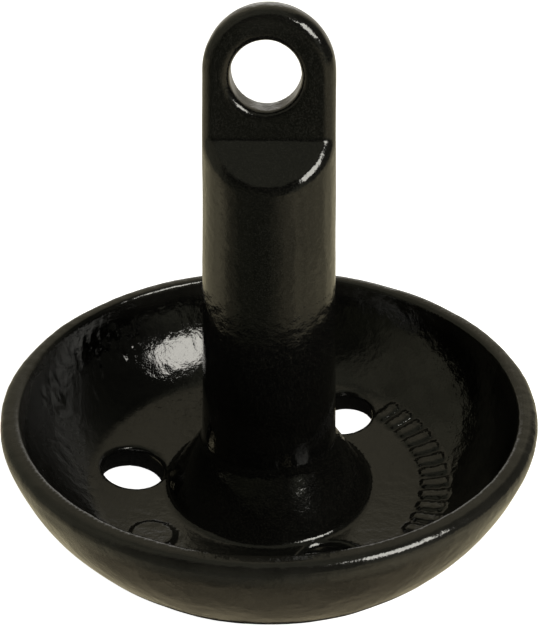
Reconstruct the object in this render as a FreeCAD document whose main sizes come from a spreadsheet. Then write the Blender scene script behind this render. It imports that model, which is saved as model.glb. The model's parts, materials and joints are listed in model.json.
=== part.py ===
import FreeCAD, Part
import math
import os

import Sketcher

# Mushroom anchor for a small boat: one iron casting under one dipped vinyl skin.
# The origin is the middle of the flat under the bowl, +Z runs up the shank, and the eye's bore
# runs along Y. Every length is in millimetres, measured on the finished, coated surface.
#
# The coated surface and the bare casting are the same form. The casting is that form drawn in
# by the coat's thickness: convex radii shrink by it, concave radii and holes grow by it, and
# the centres of all arcs stay where they are.

DIMENSIONS = {
    "coat": (1.2, "thickness of the vinyl skin"),
    "rim_radius": (97.0, "outer radius of the bowl at its rim"),
    "bottom_flat": (14.9, "radius of the flat the anchor stands on"),
    "belly_radius": (248.1, "underside arc next to the flat"),
    "belly_angle": (11.5, "slope where the belly meets the bilge, degrees"),
    "bilge_radius": (23.3, "underside arc where the belly turns up"),
    "bilge_angle": (44.4, "slope where the bilge meets the flare, degrees"),
    "flare_radius": (77.6, "underside arc of the bowl's side"),
    "lip_radius": (19.0, "underside arc just below the rim"),
    "rim_round": (3.7, "rounding on the outside of the rim"),
    "rim_inner": (89.8, "radius at which the rim turns down into the bowl"),
    "rim_edge": (2.0, "rounding on the inside of the rim"),
    "wall_radius": (52.5, "arc of the bowl's inner wall"),
    "wall_height": (59.5, "height of the inner wall arc's centre"),
    "sump_radius": (13.1, "arc where the inner wall meets the bowl's floor"),
    "floor_thick": (10.2, "wall thickness at the bowl's floor"),
    "boss_radius": (38.4, "radius of the conical boss near its foot"),
    "boss_height": (12.6, "height at which the boss has that radius"),
    "boss_slope": (57.0, "slope of the boss's side above level, degrees"),
    "boss_fillet": (9.0, "fillet between the shank and the boss"),
    "boss_foot": (3.0, "fillet between the boss and the bowl's floor"),
    "shank_taper": (1.6, "taper of the shank per side, degrees"),
    "dome_radius": (21.1, "radius of the eye's rounded top"),
    "eye_height": (172.4, "height of the eye's centre"),
    "eye_radius": (11.3, "radius of the hole in the eye"),
    "hole_aside": (0.9, "how far the eye's hole is off the shank's axis, towards -X"),
    "hole_height": (171.9, "height of the centre of the eye's hole"),
    "tab_thick": (13.5, "thickness of the flattened tab"),
    "bevel_top": (152.3, "height at which the tab's flats meet the bevels"),
    "bevel_angle": (38.0, "slope of the bevels below level, degrees"),
    "tab_round": (5.0, "rounding of the tab's and bevels' outer edges"),
    "tab_root": (2.1, "fillet where a flat meets its bevel"),
    "eye_round": (3.0, "rounding of the eye hole's edges"),
    "drain_radius": (12.0, "radius of a drain hole"),
    "drain_circle": (53.0, "radius of the circle the drain holes sit on"),
    "drain_angle": (56.0, "angle of the first drain hole from +X, degrees"),
    "drain_count": (3, "number of drain holes"),
    "drain_round": (1.6, "rounding of the drain holes' edges"),
    "rib_start": (-30.5, "angle of the first grip rib from +X, degrees"),
    "rib_pitch": (6.5, "angle between grip ribs, degrees"),
    "rib_count": (12, "number of grip ribs on the bowl's floor"),
    "rib_width": (4.6, "width of a grip rib"),
    "rib_inner": (58.4, "radius at which the grip ribs begin"),
    "rib_outer": (67.9, "radius at which the grip ribs end"),
    "rib_height": (1.1, "height of the ribs and the pad above the floor"),
    "pad_radius": (7.8, "radius of the round casting pad"),
    "pad_circle": (54.3, "distance of the casting pad from the axis"),
    "pad_angle": (-138.0, "angle of the casting pad from +X, degrees"),
}
SHEET = "Dims"
BARE_INSET = f"{SHEET}.coat"
COATED_INSET = "0"
TOUCH = 0.02
PAD_DEPTH = 3.0
SUMP_MEASURE = "sump_centre"


def size(name):
    return DIMENSIONS[name][0]


def cell(name):
    return f"{SHEET}.{name}"


def make_sheet(doc):
    sheet = doc.addObject("Spreadsheet::Sheet", SHEET)
    for row, (name, (value, meaning)) in enumerate(DIMENSIONS.items(), start=1):
        sheet.set(f"A{row}", name)
        sheet.set(f"B{row}", str(value))
        sheet.setAlias(f"B{row}", name)
        sheet.set(f"C{row}", meaning)
    doc.recompute()
    return sheet


# ---------------------------------------------------------------- sketch helpers

def origin_plane(body, role):
    return next(f for f in body.Origin.OriginFeatures if f.Role == role)


def new_sketch(body, role, name):
    sketch = body.newObject("Sketcher::SketchObject", f"{body.Name}_{name}")
    sketch.AttachmentSupport = [(origin_plane(body, role), "")]
    sketch.MapMode = "FlatFace"
    return sketch


def drive(sketch, kind, *args):
    """Adds a dimension to a sketch. The last argument is the expression that sets it."""
    *places, start, expression = args
    index = sketch.addConstraint(Sketcher.Constraint(kind, *places, start))
    sketch.setExpression(f"Constraints[{index}]", expression)
    return index


def vec(x, y):
    return FreeCAD.Vector(x, y, 0)


def add_line(sketch, a, b):
    return sketch.addGeometry(Part.LineSegment(vec(*a), vec(*b)), False)


def add_arc(sketch, centre, radius, start, end):
    """An arc from the angle start to the angle end, in degrees, counter-clockwise."""
    circle = Part.Circle(vec(*centre), FreeCAD.Vector(0, 0, 1), radius)
    return sketch.addGeometry(Part.ArcOfCircle(circle, math.radians(start), math.radians(end)), False)


def polar(centre, radius, angle):
    a = math.radians(angle)
    return (centre[0] + radius * math.cos(a), centre[1] + radius * math.sin(a))


def direction(a, b):
    """The angle of the line from a to b, in degrees."""
    return math.degrees(math.atan2(b[1] - a[1], b[0] - a[0]))


def meet(centre_a, radius_a, centre_b, radius_b, side):
    """Where two circles cross. side is +1 for the left of the line from a to b and -1 for its right."""
    dx = centre_b[0] - centre_a[0]
    dy = centre_b[1] - centre_a[1]
    gap = math.hypot(dx, dy)
    along = (gap ** 2 + radius_a ** 2 - radius_b ** 2) / (2 * gap)
    across = side * math.sqrt(radius_a ** 2 - along ** 2)
    return (centre_a[0] + (along * dx - across * dy) / gap,
            centre_a[1] + (along * dy + across * dx) / gap)


# ---------------------------------------------------------------- the anchor's section

def section_centres():
    """Centres of the section's arcs, which the coated form and the bare casting share."""
    belly = (size("bottom_flat"), size("belly_radius"))
    reach = size("belly_radius") - size("bilge_radius")
    bilge = polar(belly, reach, size("belly_angle") - 90)
    reach = size("flare_radius") - size("bilge_radius")
    flare = polar(bilge, reach, size("bilge_angle") + 90)
    lip_x = size("rim_radius") - size("lip_radius")
    reach = size("flare_radius") - size("lip_radius")
    lip = (lip_x, flare[1] - math.sqrt(reach ** 2 - (lip_x - flare[0]) ** 2))
    rim = (size("rim_radius") - size("rim_round"), lip[1])
    edge = (size("rim_inner") + size("rim_edge"), rim[1] + size("rim_round") - size("rim_edge"))
    reach = size("wall_radius") + size("rim_edge")
    wall_z = size("wall_height")
    wall = (edge[0] - math.sqrt(reach ** 2 - (wall_z - edge[1]) ** 2), wall_z)
    floor_radius = size("belly_radius") - size("floor_thick")
    sump = meet(wall, size("wall_radius") - size("sump_radius"),
                belly, floor_radius - size("sump_radius"), -1)
    eye = (0.0, size("eye_height"))
    return {"belly": belly, "bilge": bilge, "flare": flare, "lip": lip, "rim": rim,
            "edge": edge, "wall": wall, "sump": sump, "eye": eye,
            "foot": foot_centre(belly, floor_radius), "boss": boss_centre()}


def boss_facing():
    """Direction in which the boss's side faces, in degrees above level."""
    return 90 - size("boss_slope")


def boss_reach():
    """Distance of the boss's side from the origin, square to the side."""
    facing = math.radians(boss_facing())
    return size("boss_radius") * math.cos(facing) + size("boss_height") * math.sin(facing)


def foot_centre(belly, floor_radius):
    """Centre of the fillet that touches the boss's side and the bowl's floor."""
    facing = math.radians(boss_facing())
    base = polar((0, 0), boss_reach() + size("boss_foot"), boss_facing())
    down = (math.sin(facing), -math.cos(facing))
    reach = floor_radius - size("boss_foot")
    # base + run * down is on the circle of radius reach about the belly's centre
    dx = base[0] - belly[0]
    dy = base[1] - belly[1]
    b = dx * down[0] + dy * down[1]
    run = -b + math.sqrt(b ** 2 - dx ** 2 - dy ** 2 + reach ** 2)
    return (base[0] + run * down[0], base[1] + run * down[1])


def boss_centre():
    """Centre of the fillet that touches the shank's tapered side and the boss's side."""
    taper = math.radians(size("shank_taper"))
    facing = math.radians(boss_facing())
    shank = size("dome_radius") + size("eye_height") * math.sin(taper) + size("boss_fillet")
    side = boss_reach() + size("boss_fillet")
    spread = math.sin(facing - taper)
    return ((shank * math.sin(facing) - side * math.sin(taper)) / spread,
            (side * math.cos(taper) - shank * math.cos(facing)) / spread)


def draw_section(sketch, inset):
    """Draws the half section, near its solved shape. Returns each curve's index by name."""
    c = section_centres()
    taper = size("shank_taper")
    rim_top = c["rim"][1] + size("rim_round") - inset
    floor_radius = size("belly_radius") - size("floor_thick") + inset
    dome = size("dome_radius") - inset
    turn = {
        "belly": size("belly_angle") - 90,
        "bilge": size("bilge_angle") - 90,
        "flare": direction(c["flare"], c["lip"]),
        "edge": direction(c["edge"], c["wall"]),
        "wall": direction(c["wall"], c["edge"]),
        "sump": direction(c["wall"], c["sump"]),
        "floor": direction(c["belly"], c["sump"]),
        "foot": direction(c["belly"], c["foot"]),
        "boss": 180 + boss_facing(),
    }
    shank_foot = polar(c["boss"], size("boss_fillet") + inset, 180 + taper)
    shank_head = polar(c["eye"], dome, taper)
    curves = {}
    curves["flat"] = add_line(sketch, (0, inset), (size("bottom_flat"), inset))
    curves["belly"] = add_arc(sketch, c["belly"], size("belly_radius") - inset, -90, turn["belly"])
    curves["bilge"] = add_arc(sketch, c["bilge"], size("bilge_radius") - inset,
                              turn["belly"], turn["bilge"])
    curves["flare"] = add_arc(sketch, c["flare"], size("flare_radius") - inset,
                              turn["bilge"], turn["flare"])
    curves["lip"] = add_arc(sketch, c["lip"], size("lip_radius") - inset, turn["flare"], 0)
    curves["rim"] = add_arc(sketch, c["rim"], size("rim_round") - inset, 0, 90)
    curves["top"] = add_line(sketch, (c["rim"][0], rim_top), (c["edge"][0], rim_top))
    curves["edge"] = add_arc(sketch, c["edge"], size("rim_edge") - inset, 90, turn["edge"] % 360)
    curves["wall"] = add_arc(sketch, c["wall"], size("wall_radius") + inset,
                             turn["sump"], turn["wall"])
    curves["sump"] = add_arc(sketch, c["sump"], size("sump_radius") + inset,
                             turn["floor"], turn["sump"])
    curves["floor"] = add_arc(sketch, c["belly"], floor_radius, turn["foot"], turn["floor"])
    curves["foot"] = add_arc(sketch, c["foot"], size("boss_foot") + inset,
                             turn["boss"], 360 + turn["foot"])
    curves["side"] = add_line(sketch, polar(c["foot"], size("boss_foot") + inset, turn["boss"]),
                              polar(c["boss"], size("boss_fillet") + inset, turn["boss"]))
    curves["boss"] = add_arc(sketch, c["boss"], size("boss_fillet") + inset,
                             180 + taper, turn["boss"])
    curves["shank"] = add_line(sketch, shank_foot, shank_head)
    curves["dome"] = add_arc(sketch, c["eye"], dome, taper, 90)
    curves["axis"] = add_line(sketch, (0, size("eye_height") + dome), (0, inset))
    return curves


def join_section(sketch, n):
    """Joins the section's curves end to end: smooth everywhere except at the axis."""
    start, end = 1, 2
    smooth = [("flat", end, "belly", start), ("belly", end, "bilge", start),
              ("bilge", end, "flare", start), ("flare", end, "lip", start),
              ("lip", end, "rim", start), ("rim", end, "top", start),
              ("top", end, "edge", start), ("edge", end, "wall", end),
              ("wall", start, "sump", end), ("sump", start, "floor", end),
              ("floor", start, "foot", end), ("foot", start, "side", start),
              ("side", end, "boss", end), ("boss", start, "shank", start),
              ("shank", end, "dome", start)]
    for a, a_end, b, b_end in smooth:
        sketch.addConstraint(Sketcher.Constraint("Tangent", n[a], a_end, n[b], b_end))
    sketch.addConstraint(Sketcher.Constraint("Coincident", n["dome"], end, n["axis"], start))
    sketch.addConstraint(Sketcher.Constraint("Coincident", n["axis"], end, n["flat"], start))


def size_section(sketch, n, inset, inset_text):
    """Fixes every size of the section to the sheet."""
    start, end, centre = 1, 2, 3
    root, vertical_axis = -1, -2
    c = section_centres()
    for name in ("flat", "top"):
        sketch.addConstraint(Sketcher.Constraint("Horizontal", n[name]))
    sketch.addConstraint(Sketcher.Constraint("PointOnObject", n["axis"], start, vertical_axis))
    sketch.addConstraint(Sketcher.Constraint("PointOnObject", n["axis"], end, vertical_axis))
    sketch.addConstraint(Sketcher.Constraint("PointOnObject", n["dome"], centre, vertical_axis))
    sketch.addConstraint(Sketcher.Constraint("Coincident", n["floor"], centre, n["belly"], centre))
    sketch.addConstraint(Sketcher.Constraint("Horizontal", n["lip"], centre, n["rim"], centre))

    convex = {"belly": "belly_radius", "bilge": "bilge_radius", "flare": "flare_radius",
              "lip": "lip_radius", "rim": "rim_round", "edge": "rim_edge", "dome": "dome_radius"}
    concave = {"wall": "wall_radius", "sump": "sump_radius",
               "foot": "boss_foot", "boss": "boss_fillet"}
    for name, dim in convex.items():
        drive(sketch, "Radius", n[name], size(dim) - inset, f"{cell(dim)} - {inset_text}")
    for name, dim in concave.items():
        drive(sketch, "Radius", n[name], size(dim) + inset, f"{cell(dim)} + {inset_text}")
    drive(sketch, "Radius", n["floor"], size("belly_radius") - size("floor_thick") + inset,
          f"{cell('belly_radius')} - {cell('floor_thick')} + {inset_text}")

    # the arcs' centres: the flat fixes the belly's, and each of these fixes one more
    bilge_x = (f"{cell('bottom_flat')} + ({cell('belly_radius')} - {cell('bilge_radius')})"
               f" * sin({cell('belly_angle')} * 1 deg)")
    flare_x = (f"{bilge_x} - ({cell('flare_radius')} - {cell('bilge_radius')})"
               f" * sin({cell('bilge_angle')} * 1 deg)")
    drive(sketch, "DistanceX", root, 1, n["flat"], end, size("bottom_flat"), cell("bottom_flat"))
    if inset:
        drive(sketch, "DistanceY", root, 1, n["flat"], end, inset, inset_text)
    else:
        sketch.addConstraint(Sketcher.Constraint("PointOnObject", n["flat"], end, root))
    drive(sketch, "DistanceX", root, 1, n["bilge"], centre, c["bilge"][0], bilge_x)
    drive(sketch, "DistanceX", root, 1, n["flare"], centre, c["flare"][0], flare_x)
    drive(sketch, "DistanceX", root, 1, n["lip"], centre, c["lip"][0],
          f"{cell('rim_radius')} - {cell('lip_radius')}")
    drive(sketch, "DistanceX", root, 1, n["edge"], centre, c["edge"][0],
          f"{cell('rim_inner')} + {cell('rim_edge')}")
    drive(sketch, "DistanceY", root, 1, n["wall"], centre, size("wall_height"), cell("wall_height"))
    drive(sketch, "DistanceY", root, 1, n["dome"], centre, size("eye_height"), cell("eye_height"))
    slope = f"{cell('boss_slope')} * 1 deg"
    drive(sketch, "Angle", vertical_axis, 1, n["side"], 1, math.radians(boss_facing()),
          f"90 deg - {slope}")
    drive(sketch, "Distance", root, 1, n["side"], boss_reach() - inset,
          f"{cell('boss_radius')} * sin({slope}) + {cell('boss_height')} * cos({slope})"
          f" - {inset_text}")
    drive(sketch, "Angle", vertical_axis, 1, n["shank"], 1,
          math.radians(size("shank_taper")), f"{cell('shank_taper')} * 1 deg")
    measure = sketch.addConstraint(
        Sketcher.Constraint("DistanceX", root, 1, n["sump"], centre, c["sump"][0]))
    sketch.setDriving(measure, False)
    sketch.renameConstraint(measure, SUMP_MEASURE)


def turn_section(body, inset, inset_text):
    """The bowl, boss, shank and rounded top, turned about the anchor's axis."""
    sketch = new_sketch(body, "XZ_Plane", "section")
    curves = draw_section(sketch, inset)
    join_section(sketch, curves)
    size_section(sketch, curves, inset, inset_text)
    feature = body.newObject("PartDesign::Revolution", f"{body.Name}_turned")
    feature.Profile = sketch
    feature.ReferenceAxis = (sketch, ["V_Axis"])
    feature.Angle = 360
    return feature


# ---------------------------------------------------------------- the tab and its eye

def bevel_line(inset):
    """Height at which a flat meets its bevel, both drawn in by inset."""
    bevel = math.radians(size("bevel_angle"))
    return size("bevel_top") - inset * (1 - math.sin(bevel)) / math.cos(bevel)


def draw_flat_cut(sketch, side, inset, inset_text):
    """Outline of the metal cut away beside the tab, on the side y > 0 or y < 0."""
    face = size("tab_thick") / 2 - inset
    outside = 1.5 * size("dome_radius")
    top = size("eye_height") + outside
    drop = (outside - face) * math.tan(math.radians(size("bevel_angle")))
    foot = bevel_line(inset)
    corners = [(side * face, foot), (side * outside, foot - drop),
               (side * outside, top), (side * face, top)]
    lines = [add_line(sketch, corners[i], corners[(i + 1) % 4]) for i in range(4)]
    bevel, outer, upper, flat = lines
    for a, b in ((bevel, outer), (outer, upper), (upper, flat), (flat, bevel)):
        sketch.addConstraint(Sketcher.Constraint("Coincident", a, 2, b, 1))
    sketch.addConstraint(Sketcher.Constraint("Vertical", outer))
    sketch.addConstraint(Sketcher.Constraint("Vertical", flat))
    sketch.addConstraint(Sketcher.Constraint("Horizontal", upper))
    foot_text = (f"{cell('bevel_top')} - {inset_text} * (1 - sin({cell('bevel_angle')} * 1 deg))"
                 f" / cos({cell('bevel_angle')} * 1 deg)")
    face_text = f"{cell('tab_thick')} / 2 - {inset_text}"
    outside_text = f"1.5 * {cell('dome_radius')}"
    drop_text = f"({outside_text} - ({face_text})) * tan({cell('bevel_angle')} * 1 deg)"
    sign = "" if side > 0 else "-1 * "
    drive(sketch, "DistanceX", -1, 1, bevel, 1, side * face, f"{sign}({face_text})")
    drive(sketch, "DistanceX", -1, 1, bevel, 2, side * outside, f"{sign}({outside_text})")
    drive(sketch, "DistanceY", -1, 1, bevel, 1, foot, foot_text)
    drive(sketch, "DistanceY", -1, 1, bevel, 2, foot - drop, f"{foot_text} - {drop_text}")
    drive(sketch, "DistanceY", -1, 1, upper, 1, top, f"{cell('eye_height')} + {outside_text}")


def cut_flats(body, inset, inset_text):
    """Cuts the shank's top down to a flat tab, with a bevel under each flat."""
    sketch = new_sketch(body, "YZ_Plane", "flats")
    for side in (1, -1):
        draw_flat_cut(sketch, side, inset, inset_text)
    return cut_through(body, sketch, "tab")


def cut_through(body, sketch, name):
    """A cut right through the body, both ways from the sketch's plane."""
    feature = body.newObject("PartDesign::Pocket", f"{body.Name}_{name}")
    feature.Profile = sketch
    feature.Type = "ThroughAll"
    feature.SideType = "Symmetric"
    return feature


def draw_circle(sketch, centre, radius, radius_text):
    """A circle of a driven radius. Returns its index."""
    circle = Part.Circle(vec(*centre), FreeCAD.Vector(0, 0, 1), radius)
    n = sketch.addGeometry(circle, False)
    drive(sketch, "Radius", n, radius, radius_text)
    return n


def draw_circle_at_origin(sketch, radius, radius_text):
    n = draw_circle(sketch, (0, 0), radius, radius_text)
    sketch.addConstraint(Sketcher.Constraint("Coincident", n, 3, -1, 1))


def bore_eye(body, inset, inset_text):
    """The eye's hole. Its sketch plane's x runs along +X and its y along +Z."""
    sketch = new_sketch(body, "XZ_Plane", "eye")
    centre = (-size("hole_aside"), size("hole_height"))
    n = draw_circle(sketch, centre, size("eye_radius") + inset,
                    f"{cell('eye_radius')} + {inset_text}")
    drive(sketch, "DistanceX", n, 3, -1, 1, size("hole_aside"), cell("hole_aside"))
    drive(sketch, "DistanceY", -1, 1, n, 3, centre[1], cell("hole_height"))
    return cut_through(body, sketch, "bored")


# ---------------------------------------------------------------- the bowl's details

def stand_on_floor(sketch, circle_name, angle_name, depth):
    """Lays the sketch's plane square to the bowl's floor, depth below its surface."""
    floor = f"({cell('belly_radius')} - {cell('floor_thick')})"
    out = f"({cell(circle_name)} - {cell('bottom_flat')})"
    tilt = f"asin({out} / {floor})"
    yaw = f"({cell(angle_name)} * 1 deg)"
    reach = f"({cell('bottom_flat')} + ({floor} + {depth}) * sin({tilt}))"
    height = f"{cell('belly_radius')} - ({floor} + {depth}) * cos({tilt})"
    sketch.setExpression("AttachmentOffset.Base.x", f"{reach} * cos({yaw})")
    sketch.setExpression("AttachmentOffset.Base.y", f"{reach} * sin({yaw})")
    sketch.setExpression("AttachmentOffset.Base.z", height)
    sketch.setExpression("AttachmentOffset.Rotation", f"rotation({yaw}; -1 * {tilt}; 0)")


def pattern(body, feature, name, count_name, angle_text):
    """Repeats a feature about the anchor's axis."""
    copies = body.newObject("PartDesign::PolarPattern", f"{body.Name}_{name}")
    copies.Originals = [feature]
    copies.Axis = (origin_plane(body, "Z_Axis"), [""])
    copies.setExpression("Angle", angle_text)
    copies.setExpression("Occurrences", cell(count_name))
    body.Tip = copies
    return copies


def bore_drains(body, inset, inset_text):
    """Three drain holes, each square to the bowl's floor."""
    sketch = new_sketch(body, "XY_Plane", "drain")
    stand_on_floor(sketch, "drain_circle", "drain_angle", 0)
    draw_circle_at_origin(sketch, size("drain_radius") + inset,
                          f"{cell('drain_radius')} + {inset_text}")
    drain = body.newObject("PartDesign::Pocket", f"{body.Name}_drain_hole")
    drain.Profile = sketch
    drain.Type = "Length"
    drain.SideType = "Symmetric"
    drain.setExpression("Length", f"4 * {cell('floor_thick')}")
    return pattern(body, drain, "drain_holes", "drain_count", "360 deg")


def raise_pad(body, inset, inset_text):
    """A plain round pad on the bowl's floor."""
    sketch = new_sketch(body, "XY_Plane", "pad")
    stand_on_floor(sketch, "pad_circle", "pad_angle", PAD_DEPTH)
    draw_circle_at_origin(sketch, size("pad_radius") - inset,
                          f"{cell('pad_radius')} - {inset_text}")
    pad = body.newObject("PartDesign::Pad", f"{body.Name}_round_pad")
    pad.Profile = sketch
    pad.setExpression("Length", f"{PAD_DEPTH} + {cell('rib_height')} - {inset_text}")
    return pad


def draw_rib(sketch, sump_text, inset, inset_text):
    """Section of a grip rib: level below, its top a step above the floor and the sump."""
    c = section_centres()
    drop = inset - size("rib_height")
    floor_radius = size("belly_radius") - size("floor_thick") + drop
    sump_radius = size("sump_radius") + drop
    inner = size("rib_inner") + inset
    outer = size("rib_outer") - inset
    base = size("floor_thick") + size("rib_height")
    joint = direction(c["belly"], c["sump"])
    start = -math.degrees(math.acos((inner - c["belly"][0]) / floor_radius))
    stop = -math.degrees(math.acos((outer - c["sump"][0]) / sump_radius))
    low = polar(c["belly"], floor_radius, start)
    high = polar(c["sump"], sump_radius, stop)
    floor = add_arc(sketch, c["belly"], floor_radius, start, joint)
    sump = add_arc(sketch, c["sump"], sump_radius, joint, stop)
    end_face = add_line(sketch, high, (outer, base))
    bottom = add_line(sketch, (outer, base), (inner, base))
    start_face = add_line(sketch, (inner, base), low)
    sketch.addConstraint(Sketcher.Constraint("Tangent", floor, 2, sump, 1))
    for a, b in ((sump, end_face), (end_face, bottom), (bottom, start_face), (start_face, floor)):
        sketch.addConstraint(Sketcher.Constraint("Coincident", a, 2, b, 1))
    sketch.addConstraint(Sketcher.Constraint("Vertical", end_face))
    sketch.addConstraint(Sketcher.Constraint("Vertical", start_face))
    sketch.addConstraint(Sketcher.Constraint("Horizontal", bottom))
    raised = f"+ {inset_text} - {cell('rib_height')}"
    drive(sketch, "Radius", floor, floor_radius,
          f"{cell('belly_radius')} - {cell('floor_thick')} {raised}")
    drive(sketch, "Radius", sump, sump_radius, f"{cell('sump_radius')} {raised}")
    drive(sketch, "DistanceX", -1, 1, floor, 3, c["belly"][0], cell("bottom_flat"))
    drive(sketch, "DistanceY", -1, 1, floor, 3, c["belly"][1], cell("belly_radius"))
    drive(sketch, "DistanceX", -1, 1, sump, 3, c["sump"][0], sump_text)
    drive(sketch, "DistanceX", -1, 1, bottom, 2, inner, f"{cell('rib_inner')} + {inset_text}")
    drive(sketch, "DistanceX", -1, 1, bottom, 1, outer, f"{cell('rib_outer')} - {inset_text}")
    drive(sketch, "DistanceY", -1, 1, bottom, 1, base,
          f"{cell('floor_thick')} + {cell('rib_height')}")


def raise_ribs(body, inset, inset_text):
    """A row of plain radial grip ribs on the bowl's floor."""
    sketch = new_sketch(body, "XZ_Plane", "rib")
    sketch.AttachmentOffset = FreeCAD.Placement(
        FreeCAD.Vector(0, 0, 0), FreeCAD.Rotation(FreeCAD.Vector(0, 1, 0), size("rib_start")))
    sketch.setExpression("AttachmentOffset.Rotation.Angle", f"{cell('rib_start')} * 1 deg")
    draw_rib(sketch, f"{body.Name}_section.Constraints.{SUMP_MEASURE}", inset, inset_text)
    rib = body.newObject("PartDesign::Revolution", f"{body.Name}_first_rib")
    rib.Profile = sketch
    rib.ReferenceAxis = (sketch, ["V_Axis"])
    rib.Midplane = True
    middle = f"({cell('rib_inner')} + {cell('rib_outer')}) / 2"
    rib.setExpression("Angle", f"2 * asin(({cell('rib_width')} / 2 - {inset_text}) / ({middle}))")
    return pattern(body, rib, "ribs", "rib_count",
                   f"({cell('rib_count')} - 1) * {cell('rib_pitch')} * 1 deg")


# ---------------------------------------------------------------- rounded edges

def samples(edge):
    span = edge.LastParameter - edge.FirstParameter
    return [edge.valueAt(edge.FirstParameter + share * span) for share in (0.1, 0.5, 0.9)]


def edges_where(feature, test):
    """Names of the feature's edges on which every sample point passes the test."""
    return [f"Edge{i}" for i, edge in enumerate(feature.Shape.Edges, start=1)
            if all(test(p) for p in samples(edge))]


def close(a, b):
    return abs(a - b) < TOUCH


def on_flat(p, inset):
    return close(abs(p.y), size("tab_thick") / 2 - inset)


def on_shank(p, inset):
    """Is the point on the shank's tapered side or on the dome above it?"""
    taper = math.radians(size("shank_taper"))
    across = math.hypot(p.x, p.y)
    up = p.z - size("eye_height")
    if across * math.sin(taper) > -up * math.cos(taper) + TOUCH and up > 0:
        return close(math.hypot(across, up), size("dome_radius") - inset)
    return close(across * math.cos(taper) + up * math.sin(taper), size("dome_radius") - inset)


def on_tab_outline(p, inset):
    """Is the point on an outer edge of a flat or of its bevel?"""
    beside = abs(p.y) > size("tab_thick") / 2 - inset - TOUCH
    above = p.z > size("bevel_top") - 2 * size("dome_radius")
    return beside and above and on_shank(p, inset)


def on_tab_root(p, inset):
    return on_flat(p, inset) and close(p.z, bevel_line(inset)) and not on_shank(p, inset)


def on_eye_edge(p, inset):
    across = math.hypot(p.x + size("hole_aside"), p.z - size("hole_height"))
    return on_flat(p, inset) and close(across, size("eye_radius") + inset)


def on_drain_edge(p, inset):
    """Is the point on the wall of one of the drain holes?"""
    floor_radius = size("belly_radius") - size("floor_thick")
    tilt = math.asin((size("drain_circle") - size("bottom_flat")) / floor_radius)
    for hole in range(size("drain_count")):
        turn = math.radians(size("drain_angle") + 360 * hole / size("drain_count"))
        outward = FreeCAD.Vector(math.cos(turn), math.sin(turn), 0)
        centre = outward * size("bottom_flat") + FreeCAD.Vector(0, 0, size("belly_radius"))
        axis = outward * math.sin(tilt) - FreeCAD.Vector(0, 0, math.cos(tilt))
        if close((p - centre).cross(axis).Length, size("drain_radius") + inset):
            return True
    return False


def round_edges(body, feature, name, test, radius_text):
    """Rounds the curved or straight edges that pass the test, but not a hole wall's seam."""
    names = [n for n in edges_where(feature, test) if not is_seam(feature.Shape.getElement(n))]
    if not names:
        raise ValueError(f"{body.Name}: no edges found for {name}")
    fillet = body.newObject("PartDesign::Fillet", f"{body.Name}_{name}")
    fillet.Base = (feature, names)
    fillet.setExpression("Radius", radius_text)
    body.Tip = fillet
    body.Document.recompute()
    return fillet


def is_seam(edge):
    """A straight edge that climbs is the seam of a hole's wall."""
    first, _, last = samples(edge)
    return edge.Curve.TypeId == "Part::GeomLine" and not close(first.z, last.z)


# ---------------------------------------------------------------- the two sub-parts

def build_form(doc, name, inset, inset_text):
    """The anchor's whole form, drawn in from the coated surface by inset."""
    body = doc.addObject("PartDesign::Body", name)
    turn_section(body, inset, inset_text)
    cut_flats(body, inset, inset_text)
    bore_eye(body, inset, inset_text)
    raise_ribs(body, inset, inset_text)
    raise_pad(body, inset, inset_text)
    feature = bore_drains(body, inset, inset_text)
    doc.recompute()
    rounds = (
        ("eye_edges", on_eye_edge, f"{cell('eye_round')} - {inset_text}"),
        ("tab_roots", on_tab_root, f"{cell('tab_root')} + {inset_text}"),
        ("tab_outline", on_tab_outline, f"{cell('tab_round')} - {inset_text}"),
        ("drain_edges", on_drain_edge, f"{cell('drain_round')} - {inset_text}"),
    )
    for label, test, radius_text in rounds:
        feature = round_edges(body, feature, label, lambda p: test(p, inset), radius_text)
    return body


def make_coating(doc, form, casting):
    """The vinyl skin: the coated form less the casting inside it."""
    skin = doc.addObject("Part::Cut", "vinyl_coating")
    skin.Base = form
    skin.Tool = casting
    skin.Label = "vinyl_coating"
    return skin


def check(doc, subparts):
    failed = [o.Name for o in doc.Objects if "Invalid" in o.State or "Error" in o.State]
    if failed:
        raise RuntimeError(f"objects that failed to compute: {failed}")
    for part in subparts:
        if part.Shape.isNull() or not part.Shape.isValid() or len(part.Shape.Solids) != 1:
            raise RuntimeError(f"{part.Label} isn't one valid solid")


def main():
    doc = FreeCAD.newDocument("MushroomAnchor")
    make_sheet(doc)
    coated = build_form(doc, "coated_form", 0.0, COATED_INSET)
    casting = build_form(doc, "iron_casting", size("coat"), BARE_INSET)
    casting.Label = "iron_casting"
    skin = make_coating(doc, coated, casting)
    doc.recompute()
    subparts = [casting, skin]
    check(doc, subparts)
    os.makedirs("parts", exist_ok=True)
    for part in subparts:
        part.Shape.exportStep(os.path.join("parts", f"{part.Label}.step"))


main()
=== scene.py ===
import json
import math

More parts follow.
